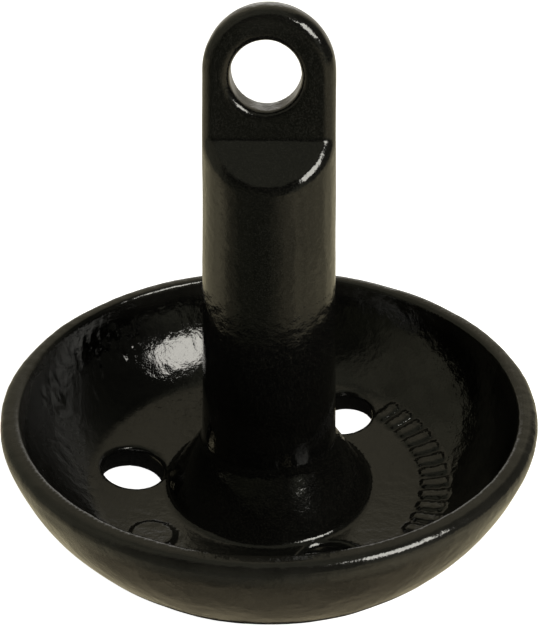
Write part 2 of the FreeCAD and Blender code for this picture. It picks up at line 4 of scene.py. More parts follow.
import bpy
import numpy as np
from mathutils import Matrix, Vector


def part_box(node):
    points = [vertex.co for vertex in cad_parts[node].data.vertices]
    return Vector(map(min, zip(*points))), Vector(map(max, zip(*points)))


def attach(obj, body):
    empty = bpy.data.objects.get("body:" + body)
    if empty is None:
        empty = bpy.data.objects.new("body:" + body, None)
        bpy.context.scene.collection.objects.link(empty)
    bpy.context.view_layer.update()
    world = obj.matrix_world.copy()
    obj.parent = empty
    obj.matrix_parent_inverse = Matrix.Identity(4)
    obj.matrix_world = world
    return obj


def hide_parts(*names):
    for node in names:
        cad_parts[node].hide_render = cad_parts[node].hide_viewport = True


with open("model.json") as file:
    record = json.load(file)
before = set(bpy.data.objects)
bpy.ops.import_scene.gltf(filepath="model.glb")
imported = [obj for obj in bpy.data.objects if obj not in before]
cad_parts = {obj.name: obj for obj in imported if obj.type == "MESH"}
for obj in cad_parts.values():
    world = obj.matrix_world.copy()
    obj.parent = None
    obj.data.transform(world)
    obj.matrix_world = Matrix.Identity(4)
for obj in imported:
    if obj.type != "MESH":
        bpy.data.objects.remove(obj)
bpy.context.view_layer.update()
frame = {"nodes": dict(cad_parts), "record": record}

MM = 0.001
MOUNTS = {m["name"]: m for m in frame["record"]["mounts"]}

# the bowl's section, in metres, on the coated surface
RIM_RADIUS = 97.0 * MM
BOTTOM_FLAT = 14.9 * MM
BELLY_RADIUS = 248.1 * MM
BELLY_ANGLE = math.radians(11.5)
BILGE_RADIUS = 23.3 * MM
BILGE_ANGLE = math.radians(44.4)
FLARE_RADIUS = 77.6 * MM
LIP_RADIUS = 19.0 * MM
RIM_ROUND = 3.7 * MM
RIM_INNER = 89.8 * MM
RIM_EDGE = 2.0 * MM
WALL_RADIUS = 52.5 * MM
WALL_HEIGHT = 59.5 * MM
SUMP_RADIUS = 13.1 * MM
FLOOR_RADIUS = BELLY_RADIUS - 10.2 * MM
BOSS_RADIUS = 38.4 * MM
BOSS_HEIGHT = 12.6 * MM
BOSS_FACING = math.radians(33)
BOSS_FILLET = 9.0 * MM
BOSS_FOOT = 3.0 * MM
SHANK_TAPER = math.radians(1.6)
DOME_RADIUS = 21.1 * MM

# the tab and its eye
EYE_HEIGHT = 172.4 * MM
HOLE_X, _, HOLE_HEIGHT = MOUNTS["eye"]["pos_m"]
EYE_RADIUS = MOUNTS["eye"]["dims"]["r_mm"] * MM
EYE_ROUND = 3.0 * MM
TAB_HALF = 6.75 * MM
BEVEL_TOP = 152.3 * MM
BEVEL_ANGLE = math.radians(38)
TAB_ROUND = 5.0 * MM
TAB_ROOT = 2.1 * MM

# the bowl's details
DRAIN_RADIUS = 12.0 * MM
DRAIN_CIRCLE = 53.0 * MM
DRAIN_ANGLES = [math.radians(56 + 120 * i) for i in range(3)]
DRAIN_ROUND = 2.0 * MM
RIB_ANGLES = [math.radians(-30.5 + 6.5 * i) for i in range(12)]
RIB_HALF_WIDTH = 2.3 * MM
RIB_MIDDLE = 63.15 * MM
RIB_HALF_LENGTH = 4.75 * MM
RELIEF = 1.1 * MM
PAD_RADIUS = 7.8 * MM
PAD_CIRCLE = 54.3 * MM
PAD_ANGLE = math.radians(-138)
RELIEF_MIDDLE = 20 * MM
RELIEF_REACH = 9.5 * MM
RIB_CORNER = 1.4 * MM
RELIEF_EDGE = 0.9 * MM
RELIEF_FOOT = 1.6 * MM
STEEPEST_TURN = 0.95

# how far the dipped vinyl stands in or out of an even coat
SWELL_HEIGHT = 0.055 * MM
RIPPLE_HEIGHT = 0.015 * MM
RIM_RIPPLE_HEIGHT = 0.012 * MM
WRINKLE_HEIGHT = 0.13 * MM
WRINKLE_ANGLE = math.radians(158)
WRINKLE_FLATTEN = np.array([1, 1, 0.5])

# the mesh
GRID = 1.3 * MM
GRID_OFFSET = 0.1
FAR = 9.0
SLOPE_REACH = 0.1 * MM
NORMAL_REACH = 0.15 * MM
LEAST_SLOPE = 0.2
LONGEST_PUSH = 0.7 * GRID
SLIDE_SHARE = 0.6

PI = math.pi


# ------------------------------------------------------------------ the section

def polar(centre, radius, angle):
    return (centre[0] + radius * math.cos(angle), centre[1] + radius * math.sin(angle))


def bearing(a, b):
    return math.atan2(b[1] - a[1], b[0] - a[0])


def section_arcs():
    """The half section as arcs and straight lines, and the height of the rim's rounding's centre.

    An arc is (centre, radius, first angle, last angle, +1 convex or -1 hollow).
    """
    belly = (BOTTOM_FLAT, BELLY_RADIUS)
    bilge = polar(belly, BELLY_RADIUS - BILGE_RADIUS, BELLY_ANGLE - PI / 2)
    flare = polar(bilge, FLARE_RADIUS - BILGE_RADIUS, BILGE_ANGLE + PI / 2)
    lip_r = RIM_RADIUS - LIP_RADIUS
    lip = (lip_r, flare[1] - math.sqrt((FLARE_RADIUS - LIP_RADIUS) ** 2 - (lip_r - flare[0]) ** 2))
    rim = (RIM_RADIUS - RIM_ROUND, lip[1])
    edge = (RIM_INNER + RIM_EDGE, rim[1] + RIM_ROUND - RIM_EDGE)
    wall_run = math.sqrt((WALL_RADIUS + RIM_EDGE) ** 2 - (WALL_HEIGHT - edge[1]) ** 2)
    wall = (edge[0] - wall_run, WALL_HEIGHT)
    sump = circles_meet(wall, WALL_RADIUS - SUMP_RADIUS, belly, FLOOR_RADIUS - SUMP_RADIUS)
    eye = (0.0, EYE_HEIGHT)
    foot = foot_centre(belly)
    boss = boss_centre()
    to_lip = bearing(flare, lip)
    to_edge = bearing(wall, edge)
    to_sump = bearing(wall, sump)
    to_floor = bearing(belly, sump)
    to_foot = bearing(belly, foot)
    boss_back = PI + BOSS_FACING
    arcs = [
        (belly, BELLY_RADIUS, -PI / 2, BELLY_ANGLE - PI / 2, 1),
        (bilge, BILGE_RADIUS, BELLY_ANGLE - PI / 2, BILGE_ANGLE - PI / 2, 1),
        (flare, FLARE_RADIUS, BILGE_ANGLE - PI / 2, to_lip, 1),
        (lip, LIP_RADIUS, to_lip, 0, 1),
        (rim, RIM_ROUND, 0, PI / 2, 1),
        (edge, RIM_EDGE, PI / 2, bearing(edge, wall) % (2 * PI), 1),
        (wall, WALL_RADIUS, to_sump, to_edge, -1),
        (sump, SUMP_RADIUS, to_floor, to_sump, -1),
        (belly, FLOOR_RADIUS, to_foot, to_floor, -1),
        (foot, BOSS_FOOT, boss_back, 2 * PI + to_foot, -1),
        (boss, BOSS_FILLET, PI + SHANK_TAPER, boss_back, -1),
        (eye, DOME_RADIUS, SHANK_TAPER, PI / 2, 1),
    ]
    lines = [
        ((0.0, 0.0), (BOTTOM_FLAT, 0.0)),
        ((rim[0], rim[1] + RIM_ROUND), (edge[0], edge[1] + RIM_EDGE)),
        (polar(boss, BOSS_FILLET, PI + SHANK_TAPER), polar(eye, DOME_RADIUS, SHANK_TAPER)),
        (polar(foot, BOSS_FOOT, boss_back), polar(boss, BOSS_FILLET, boss_back)),
    ]
    return arcs, lines, rim[1]


def circles_meet(a, radius_a, b, radius_b):
    """Where two circles cross, on the right of the line from a to b."""
    dx, dy = b[0] - a[0], b[1] - a[1]
    gap = math.hypot(dx, dy)
    along = (gap ** 2 + radius_a ** 2 - radius_b ** 2) / (2 * gap)
    across = math.sqrt(radius_a ** 2 - along ** 2)
    return (a[0] + (along * dx + across * dy) / gap, a[1] + (along * dy - across * dx) / gap)


def boss_reach():
    """Distance of the boss's side from the origin, square to the side."""
    return BOSS_RADIUS * math.cos(BOSS_FACING) + BOSS_HEIGHT * math.sin(BOSS_FACING)


def foot_centre(belly):
    """Centre of the fillet that touches the boss's side and the bowl's floor."""
    base = polar((0, 0), boss_reach() + BOSS_FOOT, BOSS_FACING)
    down = (math.sin(BOSS_FACING), -math.cos(BOSS_FACING))
    dx, dy = base[0] - belly[0], base[1] - belly[1]
    b = dx * down[0] + dy * down[1]
    run = -b + math.sqrt(b ** 2 - dx ** 2 - dy ** 2 + (FLOOR_RADIUS - BOSS_FOOT) ** 2)
    return (base[0] + run * down[0], base[1] + run * down[1])


def boss_centre():
    """Centre of the fillet that touches the shank's tapered side and the boss's side."""
    shank = DOME_RADIUS + EYE_HEIGHT * math.sin(SHANK_TAPER) + BOSS_FILLET
    side = boss_reach() + BOSS_FILLET
    spread = math.sin(BOSS_FACING - SHANK_TAPER)
    return ((shank * math.sin(BOSS_FACING) - side * math.sin(SHANK_TAPER)) / spread,
            (side * math.cos(SHANK_TAPER) - shank * math.cos(BOSS_FACING)) / spread)


ARCS, LINES, RIM_HEIGHT = section_arcs()


def turned(r, z):
    """Signed distance to the turned form: negative inside. The nearest curve decides."""
    best = np.full(r.shape, FAR)
    signed = np.full(r.shape, FAR)
    for centre, radius, first, last, side in ARCS:
        x, y = r - centre[0], z - centre[1]
        away = np.hypot(x, y)
        middle, half = (first + last) / 2, (last - first) / 2
        turn = np.arctan2(y, x) - middle
        turn = (turn + PI) % (2 * PI) - PI
        held = np.clip(turn, -half, half) + middle
        gap = np.hypot(x - radius * np.cos(held), y - radius * np.sin(held))
        near = gap < best
        best = np.where(near, gap, best)
        signed = np.where(near, side * np.sign(away - radius) * gap, signed)
    for (ax, ay), (bx, by) in LINES:
        length = math.hypot(bx - ax, by - ay)
        ux, uy = (bx - ax) / length, (by - ay) / length
        along = np.clip((r - ax) * ux + (z - ay) * uy, 0, length)
        gap = np.hypot(r - ax - along * ux, z - ay - along * uy)
        outside = (r - ax) * uy - (z - ay) * ux
        near = gap < best
        best = np.where(near, gap, best)
        signed = np.where(near, np.sign(outside) * gap, signed)
    return signed


# ------------------------------------------------------------------ the coated form

def step(x, low, high):
    """A smooth step from 0 at low to 1 at high."""
    t = np.clip((x - low) / (high - low), 0, 1)
    return t * t * (3 - 2 * t)


def meet_round(a, b, radius, turn=0.0):
    """What two forms share, with a rounded edge. turn is the cosine between their slopes."""
    a, b = a + radius, b + radius
    corner = np.sqrt(np.maximum(a * a + b * b - 2 * a * b * turn, 0) / (1 - turn ** 2))
    beyond = (a > b * turn) & (b > a * turn) & (a + b > 0)
    return np.where(beyond, corner, np.maximum(a, b)) - radius


def join_round(a, b, radius, turn=0.0):
    """Two forms joined, with a fillet between them."""
    return -meet_round(-a, -b, radius, turn)


def tab_sides(p):
    """The tab's flats and the bevels below them, and how far each point's side faces outward."""
    out = np.abs(p[:, 1]) - TAB_HALF
    bevel = out * math.sin(BEVEL_ANGLE) + (p[:, 2] - BEVEL_TOP) * math.cos(BEVEL_ANGLE)
    share = step(bevel - out, -TAB_ROOT, TAB_ROOT)
    side = np.column_stack([np.zeros(len(p)),
                            np.sign(p[:, 1]) * (share + (1 - share) * math.sin(BEVEL_ANGLE)),
                            (1 - share) * math.cos(BEVEL_ANGLE)])
    away = p * (1, 1, 0) + np.maximum(p[:, 2:] - EYE_HEIGHT, 0) * (0, 0, 1)
    lengths = np.linalg.norm(side, axis=1) * np.maximum(np.linalg.norm(away, axis=1), MM)
    turn = (side * away).sum(axis=1) / lengths
    sides = join_round(out, bevel, TAB_ROOT, math.cos(PI / 2 - BEVEL_ANGLE))
    return sides, np.clip(turn, 0, STEEPEST_TURN)


def floor_axis(circle, angle):
    """A point and a direction: the line square to the bowl's floor at that place."""
    tilt = math.asin((circle - BOTTOM_FLAT) / FLOOR_RADIUS)
    out = np.array([math.cos(angle), math.sin(angle), 0.0])
    start = out * BOTTOM_FLAT + np.array([0.0, 0.0, BELLY_RADIUS])
    return start, out * math.sin(tilt) - np.array([0.0, 0.0, math.cos(tilt)])


def from_axis(p, circle, angle):
    start, axis = floor_axis(circle, angle)
    rel = p - start
    return np.linalg.norm(rel - (rel @ axis)[:, None] * axis, axis=1)


def relief(p, r, body):
    """The plain ribs and the round pad that stand up from the bowl's floor."""
    turn = np.arctan2(p[:, 1], p[:, 0])
    offset = np.min([np.abs((turn - a + PI) % (2 * PI) - PI) for a in RIB_ANGLES], axis=0)
    across = (offset - RIB_HALF_WIDTH / RIB_MIDDLE) * r
    along = np.abs(r - RIB_MIDDLE) - RIB_HALF_LENGTH
    rib = meet_round(across, along, RIB_CORNER)
    pad = from_axis(p, PAD_CIRCLE, PAD_ANGLE) - PAD_RADIUS
    plan = np.minimum(rib, pad)
    top = np.maximum(body - RELIEF, np.abs(p[:, 2] - RELIEF_MIDDLE) - RELIEF_REACH)
    return meet_round(plan, top, RELIEF_EDGE)


def smooth_form(p):
    """Signed distance to the coated anchor, before its swells, ripples and wrinkles."""
    r = np.hypot(p[:, 0], p[:, 1])
    body = turned(r, p[:, 2])
    sides, turn = tab_sides(p)
    form = meet_round(body, sides, TAB_ROUND, turn)
    eye = EYE_RADIUS - np.hypot(p[:, 0] - HOLE_X, p[:, 2] - HOLE_HEIGHT)
    form = meet_round(form, eye, EYE_ROUND)
    form = join_round(form, relief(p, r, body), RELIEF_FOOT)
    for angle in DRAIN_ANGLES:
        hole = DRAIN_RADIUS - from_axis(p, DRAIN_CIRCLE, angle)
        hole = np.minimum(hole, RIM_HEIGHT - p[:, 2])
        form = meet_round(form, hole, DRAIN_ROUND)
    return form


# ------------------------------------------------------------------ swells, ripples and wrinkles

def wave_field(seed, count, longest, shortest):
    """Fixed plane waves between two wavelengths: directions, lengths and phases."""
    rng = np.random.default_rng(seed)
    direction = rng.normal(size=(count, 3))
    direction /= np.linalg.norm(direction, axis=1)[:, None]
    length = longest * (shortest / longest) ** rng.random(count)
    return direction * (2 * PI / length)[:, None], rng.random(count) * 2 * PI


def waves(p, field):
    k, phase = field
    return np.sin(p @ k.T + phase).sum(axis=1) / math.sqrt(len(phase) / 2)


SWELL = wave_field(seed=3, count=26, longest=46 * MM, shortest=17 * MM)
RIPPLE = wave_field(seed=8, count=30, longest=11 * MM, shortest=4.5 * MM)
PATCH = wave_field(seed=5, count=18, longest=40 * MM, shortest=22 * MM)
WRINKLE = wave_field(seed=21, count=24, longest=9 * MM, shortest=4 * MM)

# where each of them starts, and where it is full
OFF_GROUND = (0.3 * MM, 4 * MM)
RIM_TOP = (RIM_HEIGHT - 3 * MM, RIM_HEIGHT)
RIM_OUTWARD = (84 * MM, 90 * MM)
WALL_UPWARD = (22 * MM, 30 * MM)
WALL_OUTWARD = (64 * MM, 74 * MM)
WALL_INWARD = (90.5 * MM, 87 * MM)
WRINKLE_BAND = (0.55, 0.95)
WRINKLE_PATCHES = (0.1, 1.1)


def coat_relief(p):
    """How far the vinyl stands in or out of the even coat."""
    r = np.hypot(p[:, 0], p[:, 1])
    z = p[:, 2]
    turn = np.arctan2(p[:, 1], p[:, 0])
    rim = step(z, *RIM_TOP) * step(r, *RIM_OUTWARD)
    wall = step(z, *WALL_UPWARD) * step(r, *WALL_OUTWARD) * step(r, *WALL_INWARD)
    band = step(np.cos(turn - WRINKLE_ANGLE), *WRINKLE_BAND)
    patches = step(waves(p, PATCH), *WRINKLE_PATCHES)
    swell = SWELL_HEIGHT * waves(p, SWELL)
    ripple = (RIPPLE_HEIGHT + RIM_RIPPLE_HEIGHT * rim) * waves(p, RIPPLE)
    wrinkle = WRINKLE_HEIGHT * wall * band * patches * waves(p * WRINKLE_FLATTEN, WRINKLE)
    return step(z, *OFF_GROUND) * (swell + ripple + wrinkle)


def coated_form(p):
    return smooth_form(p) - coat_relief(p)


# ------------------------------------------------------------------ from the form to a mesh

def lattice(low, high):
    """Evenly spaced grid lines over the form's box, with room to spare."""
    counts = [int(math.ceil((b - a + 4 * GRID) / GRID)) for a, b in zip(low, high)]
    return [a - 2 * GRID + GRID * (np.arange(n + 1) + GRID_OFFSET) for a, n in zip(low, counts)]


def sample_grid(xs, ys, zs):
    """The form at every grid point, worked out one layer at a time."""
    out = np.empty((len(xs), len(ys), len(zs)))
    plane = np.stack(np.meshgrid(ys, zs, indexing="ij"), axis=-1).reshape(-1, 2)
    for i, x in enumerate(xs):
        p = np.column_stack([np.full(len(plane), x), plane])
        out[i] = smooth_form(p).reshape(len(ys), len(zs))
    return out


def surface_net(values, xs, ys, zs):
    """One vertex in each grid cell that the surface crosses, and one quad for each crossed edge."""
    inside = values < 0
    shape = tuple(n - 1 for n in values.shape)
    total = np.zeros(shape + (3,))
    count = np.zeros(shape)
    axes = [xs, ys, zs]
    quads = []
    cell = np.full(shape, -1)
    crossings = []
    for axis in range(3):
        a = [slice(None)] * 3
        b = [slice(None)] * 3
        a[axis], b[axis] = slice(0, -1), slice(1, None)
        va, vb = values[tuple(a)], values[tuple(b)]
        hit = np.argwhere(inside[tuple(a)] != inside[tuple(b)])
        fa, fb = va[tuple(hit.T)], vb[tuple(hit.T)]
        share = fa / (fa - fb)
        point = np.column_stack([axes[k][hit[:, k]] for k in range(3)])
        point[:, axis] += share * GRID
        crossings.append((axis, hit, fa < 0))
        u, v = (axis + 1) % 3, (axis + 2) % 3
        for du in (0, 1):
            for dv in (0, 1):
                at = hit.copy()
                at[:, u] -= du
                at[:, v] -= dv
                np.add.at(total, tuple(at.T), point)
                np.add.at(count, tuple(at.T), 1)
    used = count > 0
    cell[used] = np.arange(used.sum())
    vertices = total[used] / count[used][:, None]
    for axis, hit, first_inside in crossings:
        u, v = (axis + 1) % 3, (axis + 2) % 3
        ring = []
        for du, dv in ((1, 1), (0, 1), (0, 0), (1, 0)):
            at = hit.copy()
            at[:, u] -= du
            at[:, v] -= dv
            ring.append(cell[tuple(at.T)])
        quad = np.column_stack(ring)
        quads.append(np.where(first_inside[:, None], quad, quad[:, ::-1]))
    return vertices, np.vstack(quads)


def gradient(field, p, reach):
    """The field's slope at each point, by central differences."""
    out = np.empty(p.shape)
    for axis in range(3):
        shift = np.zeros(3)
        shift[axis] = reach
        out[:, axis] = (field(p + shift) - field(p - shift)) / (2 * reach)
    return out


def settle(field, p, rounds):
    """Moves points onto the surface along the field's slope."""
    for _ in range(rounds):
        slope = gradient(field, p, SLOPE_REACH)
        push = field(p) / np.maximum((slope ** 2).sum(axis=1), LEAST_SLOPE)
        p = p - np.clip(push, -LONGEST_PUSH, LONGEST_PUSH)[:, None] * slope
    return p


def even_out(field, p, quads, rounds):
    """Slides points towards their neighbours' middle, then back onto the surface."""
    pairs = np.vstack([quads[:, [i, (i + 1) % 4]] for i in range(4)])
    for _ in range(rounds):
        total = np.zeros(p.shape)
        count = np.zeros(len(p))
        for a, b in ((0, 1), (1, 0)):
            np.add.at(total, pairs[:, a], p[pairs[:, b]])
            np.add.at(count, pairs[:, a], 1)
        p = settle(field, p + SLIDE_SHARE * (total / count[:, None] - p), rounds=1)
    return p


def mesh_object(name, vertices, quads, normals):
    mesh = bpy.data.meshes.new(name)
    mesh.vertices.add(len(vertices))
    mesh.vertices.foreach_set("co", vertices.astype(np.float32).ravel())
    mesh.loops.add(quads.size)
    mesh.loops.foreach_set("vertex_index", quads.astype(np.int32).ravel())
    mesh.polygons.add(len(quads))
    mesh.polygons.foreach_set("loop_start", np.arange(0, quads.size, 4, dtype=np.int32))
    mesh.update(calc_edges=True)
    mesh.polygons.foreach_set("use_smooth", np.ones(len(quads), bool))
    mesh.normals_split_custom_set_from_vertices(normals.tolist())
    mesh.validate(clean_customdata=False)
    piece = bpy.data.objects.new(name, mesh)
    bpy.context.scene.collection.objects.link(piece)
    return piece


def build_coating():
    """The whole vinyl skin: a grid round the form, its surface net, then its points evened out."""
    low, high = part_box("vinyl_coating")
    xs, ys, zs = lattice(low, high)
    vertices, quads = surface_net(sample_grid(xs, ys, zs), xs, ys, zs)
    vertices = settle(coated_form, vertices, rounds=2)
    vertices = even_out(coated_form, vertices, quads, rounds=3)
    vertices = settle(coated_form, vertices, rounds=2)
    normals = gradient(coated_form, vertices, NORMAL_REACH)
    normals /= np.linalg.norm(normals, axis=1)[:, None]
    return mesh_object("vinyl_skin", vertices, quads, normals)


# ------------------------------------------------------------------ materials

VINYL_IOR = 1.53
PEEL_HEIGHT = 0.15 * MM
PEBBLE_HEIGHT = 0.04 * MM

# roughness of clean vinyl, and what haze, scuffs and rubbing add to it
CLEAN_ROUGHNESS = 0.055
HAZE_ROUGHNESS = 0.08
SCUFF_ROUGHNESS = 0.10
RIM_ROUGHNESS = 0.05
TAB_ROUGHNESS = 0.05
WALL_ROUGHNESS = 0.15

CLEAN_VINYL = (0.0016, 0.0016, 0.0016)
HAZY_VINYL = (0.0034, 0.0033, 0.0029)
DUST_SPECK = (0.011, 0.0106, 0.009)
# painted sheen: a lighter grey for the rim and the tab's crown, partly wear and partly standing in
# for the room's reflection there
WORN_AND_SHEEN_GREY = (0.014, 0.0134, 0.0115)

# the noise levels between which each of them sets in
HAZE_LEVELS = (0.35, 0.75)
SCUFF_LEVELS = (0.62, 0.8)
FILM_LEVELS = (0.45, 0.8)
SPECK_LEVELS = (0.45, 0.72)
PATCHY_LEVELS = (0.3, 0.65)
LEAST_PATCHY = 0.35

# where the rubbed rim, the lighter crown of the tab and the duller patch of wall begin and end; the
# rim and the crown are painted a lighter grey, partly wear and partly a painted sheen
RIM_BAND = 5 * MM
CROWN_FOOT = 182 * MM
CROWN_SHARE = 0.5
DULL_CENTRE = (-83 * MM, -10 * MM, 42 * MM)
DULL_REACH = 62 * MM

IRON_GREY = (0.11, 0.105, 0.10)
IRON_RUST = (0.16, 0.07, 0.035)
IRON_METALLIC = 0.7
IRON_ROUGHNESS = (0.5, 0.8)
RUST_LEVELS = (0.5, 0.75)
SAND_LEVELS = (0.3, 0.7)
SAND_HEIGHT = 0.4 * MM


def new_material(name):
    material = bpy.data.materials.new(name)
    material.use_nodes = True
    nodes = material.node_tree.nodes
    nodes.clear()
    output = nodes.new("ShaderNodeOutputMaterial")
    shader = nodes.new("ShaderNodeBsdfPrincipled")
    material.node_tree.links.new(shader.outputs["BSDF"], output.inputs["Surface"])
    return material, shader


def position(material):
    """The place on the object, in metres."""
    return material.node_tree.nodes.new("ShaderNodeTexCoord").outputs["Object"]


def height_of(material, place):
    node = material.node_tree.nodes.new("ShaderNodeSeparateXYZ")
    material.node_tree.links.new(place, node.inputs["Vector"])
    return node.outputs["Z"]


def distance_from(material, place, centre):
    node = material.node_tree.nodes.new("ShaderNodeVectorMath")
    node.operation = "DISTANCE"
    material.node_tree.links.new(place, node.inputs[0])
    node.inputs[1].default_value = centre
    return node.outputs["Value"]


def noise(material, place, scale, detail=3.0, roughness=0.5, stretch=None):
    tree = material.node_tree
    if stretch:
        mapping = tree.nodes.new("ShaderNodeMapping")
        mapping.inputs["Scale"].default_value = stretch
        tree.links.new(place, mapping.inputs["Vector"])
        place = mapping.outputs["Vector"]
    node = tree.nodes.new("ShaderNodeTexNoise")
    node.inputs["Scale"].default_value = scale
    node.inputs["Detail"].default_value = detail
    node.inputs["Roughness"].default_value = roughness
    tree.links.new(place, node.inputs["Vector"])
    return node.outputs["Fac"]


def remap(material, value, low, high, to_low, to_high):
    node = material.node_tree.nodes.new("ShaderNodeMapRange")
    node.interpolation_type = "SMOOTHSTEP"
    node.inputs["From Min"].default_value = low
    node.inputs["From Max"].default_value = high
    node.inputs["To Min"].default_value = to_low
    node.inputs["To Max"].default_value = to_high
    material.node_tree.links.new(value, node.inputs["Value"])
    return node.outputs["Result"]


def combine(material, operation, result, *others):
    """Adds, multiplies or compares values, two at a time."""
    for other in others:
        node = material.node_tree.nodes.new("ShaderNodeMath")
        node.operation = operation
        for socket, value in zip(node.inputs, (result, other)):
            if isinstance(value, (int, float)):
                socket.default_value = value
            else:
                material.node_tree.links.new(value, socket)
        result = node.outputs["Value"]
    return result


def mix_colours(material, share, a, b):
    node = material.node_tree.nodes.new("ShaderNodeMix")
    node.data_type = "RGBA"
    material.node_tree.links.new(share, node.inputs["Factor"])
    for socket, value in ((node.inputs["A"], a), (node.inputs["B"], b)):
        if isinstance(value, tuple):
            socket.default_value = (*value, 1)
        else:
            material.node_tree.links.new(value, socket)
    return node.outputs["Result"]


def bump(material, height, distance, normal=None):
    node = material.node_tree.nodes.new("ShaderNodeBump")
    node.inputs["Distance"].default_value = distance
    material.node_tree.links.new(height, node.inputs["Height"])
    if normal is not None:
        material.node_tree.links.new(normal, node.inputs["Normal"])
    return node.outputs["Normal"]


def rim_share(material, place):
    """1 on the rim, 0 on the rest of the bowl, the shank and the tab."""
    height = height_of(material, place)
    away = distance_from(material, place, (0, 0, RIM_HEIGHT))
    risen = remap(material, height, RIM_HEIGHT - RIM_BAND, RIM_HEIGHT, 0.0, 1.0)
    outward = remap(material, away, RIM_INNER - 2 * RIM_BAND, RIM_INNER - RIM_BAND, 0.0, 1.0)
    below = remap(material, height, RIM_HEIGHT + RIM_BAND, RIM_HEIGHT + 2 * RIM_BAND, 1.0, 0.0)
    return combine(material, "MULTIPLY", risen, outward, below)


def vinyl_normal(material, place):
    """Orange peel with a finer pebble over it."""
    peel = noise(material, place, scale=340, detail=2.0)
    pebble = noise(material, place, scale=1500, detail=2.0)
    return bump(material, pebble, PEBBLE_HEIGHT, bump(material, peel, PEEL_HEIGHT))


def vinyl_roughness(material, place, patches, rim):
    """Clean gloss, duller in haze and scuffs, on the rim and tab and on part of the wall."""
    scuffs = noise(material, place, scale=900, roughness=0.65, stretch=(1, 1, 0.12))
    height = height_of(material, place)
    away = distance_from(material, place, DULL_CENTRE)
    haze = remap(material, patches, *HAZE_LEVELS, 0.0, HAZE_ROUGHNESS)
    scuffed = remap(material, scuffs, *SCUFF_LEVELS, 0.0, SCUFF_ROUGHNESS)
    tab = remap(material, height, BEVEL_TOP - RIM_BAND, BEVEL_TOP, 0.0, TAB_ROUGHNESS)
    wall = remap(material, away, DULL_REACH / 2, DULL_REACH, WALL_ROUGHNESS, 0.0)
    edge_extra = combine(material, "MULTIPLY", rim, RIM_ROUGHNESS)
    return combine(material, "ADD", haze, scuffed, CLEAN_ROUGHNESS, edge_extra, tab, wall)


def vinyl_colour(material, place, patches, rim):
    """Black, with a faint haze, dust specks, and a greyer rim and crown: partly wear, partly a
    painted sheen.
    """
    grains = noise(material, place, scale=2600, detail=1.0)
    haze = remap(material, patches, *FILM_LEVELS, 0.0, 1.0)
    specks = remap(material, grains, *SPECK_LEVELS, 0.0, 1.0)
    film = mix_colours(material, haze, CLEAN_VINYL, HAZY_VINYL)
    film = mix_colours(material, specks, film, DUST_SPECK)
    height = height_of(material, place)
    # painted sheen: the rim and the tab's crown are made a lighter grey, in uneven patches, partly
    # wear and partly standing in for the room's reflection there
    crown = remap(material, height, CROWN_FOOT, CROWN_FOOT + 2 * RIM_BAND, 0.0, CROWN_SHARE)
    patchy_share = remap(material, patches, *PATCHY_LEVELS, LEAST_PATCHY, 1.0)
    edge_extra = combine(material, "MULTIPLY", combine(material, "ADD", rim, crown), patchy_share)
    return mix_colours(material, edge_extra, film, WORN_AND_SHEEN_GREY)


def vinyl():
    """Glossy black dipped vinyl."""
    material, shader = new_material("black_vinyl")
    link = material.node_tree.links.new
    place = position(material)
    patches = noise(material, place, scale=38, detail=4.0, roughness=0.6)
    rim = rim_share(material, place)
    link(vinyl_roughness(material, place, patches, rim), shader.inputs["Roughness"])
    link(vinyl_colour(material, place, patches, rim), shader.inputs["Base Color"])
    link(vinyl_normal(material, place), shader.inputs["Normal"])
    shader.inputs["IOR"].default_value = VINYL_IOR
    return material


def cast_iron():
    """Sand-cast iron, grey and grainy, with faint rust. It is sealed inside the vinyl."""
    material, shader = new_material("sand_cast_iron")
    link = material.node_tree.links.new
    place = position(material)
    sand = noise(material, place, scale=900, detail=4.0, roughness=0.6)
    blotch = noise(material, place, scale=60, detail=4.0, roughness=0.6)
    rust = remap(material, blotch, *RUST_LEVELS, 0.0, 1.0)
    link(mix_colours(material, rust, IRON_GREY, IRON_RUST), shader.inputs["Base Color"])
    link(remap(material, sand, *SAND_LEVELS, *IRON_ROUGHNESS), shader.inputs["Roughness"])
    link(bump(material, sand, SAND_HEIGHT), shader.inputs["Normal"])
    shader.inputs["Metallic"].default_value = IRON_METALLIC
    return material


def floor_material():
    material, shader = new_material("pale_floor")
    shader.inputs["Base Color"].default_value = (*FLOOR_WHITE, 1)
    shader.inputs["Roughness"].default_value = MATT
    shader.inputs["Emission Color"].default_value = (1, 1, 1, 1)
    shader.inputs["Emission Strength"].default_value = FLOOR_GLOW
    return material


# ------------------------------------------------------------------ studio

FLOOR_GLOW = 1.0
FLOOR_WHITE = (0.9, 0.9, 0.9)
FLOOR_DROP = 0.5 * MM
MATT = 0.9
FLOOR_HALF = 3.0
SHADE_RADIUS = 72 * MM
SHADE_DROP = 0.4 * MM
SHADE_SIDES = 48
SHADE_COLOUR = (0.02, 0.018, 0.014)
PLAIN_BACKGROUND = (1.0, 1.0, 1.0)

# the room round the anchor: broad soft patches, light and dark, painted one over another
# (azimuth, elevation, full out to, gone at, colour), in degrees
ROOM = (0.22, 0.22, 0.165)
ROOM_PATCHES = [
    (90, 22, 35, 62, (0.36, 0.33, 0.24)),
    (178, 24, 25, 52, (0.26, 0.25, 0.18)),
    (8, 26, 28, 50, (0.05, 0.05, 0.04)),
    (-100, 22, 36, 52, (0.018, 0.018, 0.014)),
    (-90, -90, 82, 91, (0.56, 0.50, 0.33)),
    (-90, -90, 20, 50, (0.27, 0.23, 0.15)),
    (90, -4, 12, 34, (0.50, 0.47, 0.40)),
    (91, 11, 5, 16, (1.0, 0.97, 0.89)),
    (-112, -14, 12, 66, (0.07, 0.072, 0.045)),
]
ROOM_CLUTTER = 0.3
CLUTTER_LEVELS = (0.35, 0.65)
SOFTBOX_AZIMUTH = math.radians(-32.5)
SOFTBOX_ELEVATION = math.radians(41)
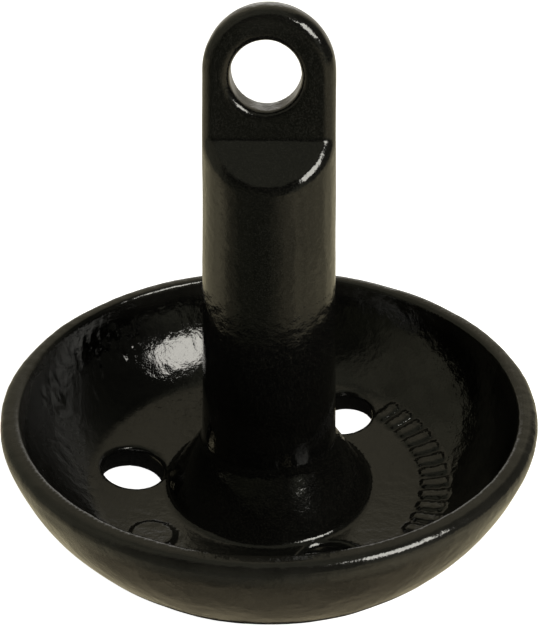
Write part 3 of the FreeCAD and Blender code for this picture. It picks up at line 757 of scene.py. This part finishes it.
SOFTBOX_DISTANCE = 1.2
SOFTBOX_WIDTH = 0.53
SOFTBOX_HEIGHT = 0.50
SOFTBOX_POWER = 9.2
SOFTBOX_COLOUR = (1.0, 0.98, 0.90)
CAMERA_AZIMUTH = math.radians(1.93)
CAMERA_PITCH = math.radians(29.136)
CAMERA_OUT = 3.5008 * RIM_RADIUS
CAMERA_UP = 2.3127 * RIM_RADIUS
SENSOR_WIDTH = 36
LENS = 63.36


def add_floor():
    """A plain pale floor. The gloss sees the lower half of the room instead of it."""
    mesh = bpy.data.meshes.new("studio_floor")
    half = FLOOR_HALF
    mesh.from_pydata([(-half, -half, 0), (half, -half, 0), (half, half, 0), (-half, half, 0)],
                     [], [(0, 1, 2, 3)])
    floor = bpy.data.objects.new("studio_floor", mesh)
    bpy.context.scene.collection.objects.link(floor)
    floor.location.z = -FLOOR_DROP
    floor.visible_glossy = False
    mesh.materials.append(floor_material())


def add_under_shade():
    """The dark patch of table under the bowl, which only the gloss sees."""
    mesh = bpy.data.meshes.new("under_shade")
    edge = [(SHADE_RADIUS * math.cos(a), SHADE_RADIUS * math.sin(a), 0)
            for a in np.linspace(0, 2 * PI, SHADE_SIDES, endpoint=False)]
    mesh.from_pydata(edge, [], [tuple(range(len(edge)))])
    shade = bpy.data.objects.new("under_shade", mesh)
    bpy.context.scene.collection.objects.link(shade)
    shade.location.z = -SHADE_DROP
    shade.visible_camera = False
    shade.visible_diffuse = False
    shade.visible_shadow = False
    material, shader = new_material("under_shade")
    shader.inputs["Base Color"].default_value = (*SHADE_COLOUR, 1)
    shader.inputs["Roughness"].default_value = MATT
    mesh.materials.append(material)


def patch_share(world, direction, azimuth, elevation, full, gone):
    """1 in the directions near the given one, falling softly to 0."""
    tree = world.node_tree
    az, el = math.radians(azimuth), math.radians(elevation)
    dot = tree.nodes.new("ShaderNodeVectorMath")
    dot.operation = "DOT_PRODUCT"
    tree.links.new(direction, dot.inputs[0])
    dot.inputs[1].default_value = (math.cos(el) * math.cos(az), math.cos(el) * math.sin(az),
                                   math.sin(el))
    return remap(world, dot.outputs["Value"], math.cos(math.radians(gone)),
                 math.cos(math.radians(full)), 0.0, 1.0)


def add_world():
    """A dim room round a lit table, and a plain white background for the camera."""
    world = bpy.data.worlds.new("studio_world")
    world.use_nodes = True
    tree = world.node_tree
    direction = tree.nodes.new("ShaderNodeTexCoord").outputs["Generated"]
    colour = ROOM
    for azimuth, elevation, full, gone, tint in ROOM_PATCHES:
        share = patch_share(world, direction, azimuth, elevation, full, gone)
        colour = mix_colours(world, share, colour, tint)
    is_camera = tree.nodes.new("ShaderNodeLightPath").outputs["Is Camera Ray"]
    background = tree.nodes["Background"]
    tree.links.new(mix_colours(world, is_camera, colour, PLAIN_BACKGROUND),
                   background.inputs["Color"])
    clutter = noise(world, direction, scale=9.0, roughness=0.55)
    strength = remap(world, clutter, *CLUTTER_LEVELS, 1 - ROOM_CLUTTER, 1 + ROOM_CLUTTER)
    tree.links.new(combine(world, "MAXIMUM", strength, is_camera), background.inputs["Strength"])
    bpy.context.scene.world = world


def add_softbox(name, azimuth, elevation, distance, width, height, power):
    """A rectangular soft light that faces the anchor."""
    light = bpy.data.lights.new(name, "AREA")
    light.shape = "RECTANGLE"
    light.size = width
    light.size_y = height
    light.energy = power
    light.color = SOFTBOX_COLOUR
    lamp = bpy.data.objects.new(name, light)
    bpy.context.scene.collection.objects.link(lamp)
    out = Vector((math.cos(elevation) * math.cos(azimuth),
                  math.cos(elevation) * math.sin(azimuth), math.sin(elevation)))
    lamp.location = out * distance + Vector((0, 0, RIM_HEIGHT))
    lamp.rotation_euler = out.to_track_quat("Z", "Y").to_euler()


def add_camera():
    data = bpy.data.cameras.new("camera")
    data.sensor_width = SENSOR_WIDTH
    data.lens = LENS
    camera = bpy.data.objects.new("camera", data)
    bpy.context.scene.collection.objects.link(camera)
    camera.location = (CAMERA_OUT * math.sin(CAMERA_AZIMUTH),
                       -CAMERA_OUT * math.cos(CAMERA_AZIMUTH), RIM_HEIGHT + CAMERA_UP)
    camera.rotation_euler = (PI / 2 - CAMERA_PITCH, 0, CAMERA_AZIMUTH)
    bpy.context.scene.camera = camera


def main():
    skin = build_coating()
    skin.data.materials.append(vinyl())
    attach(skin, "root")
    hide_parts("vinyl_coating")
    iron = frame["nodes"]["iron_casting"]
    iron.data.materials.clear()
    iron.data.materials.append(cast_iron())
    add_floor()
    add_under_shade()
    add_world()
    add_softbox("main_softbox", SOFTBOX_AZIMUTH, SOFTBOX_ELEVATION, SOFTBOX_DISTANCE,
                SOFTBOX_WIDTH, SOFTBOX_HEIGHT, SOFTBOX_POWER)
    add_camera()
    bpy.context.scene.view_settings.view_transform = "Standard"


main()
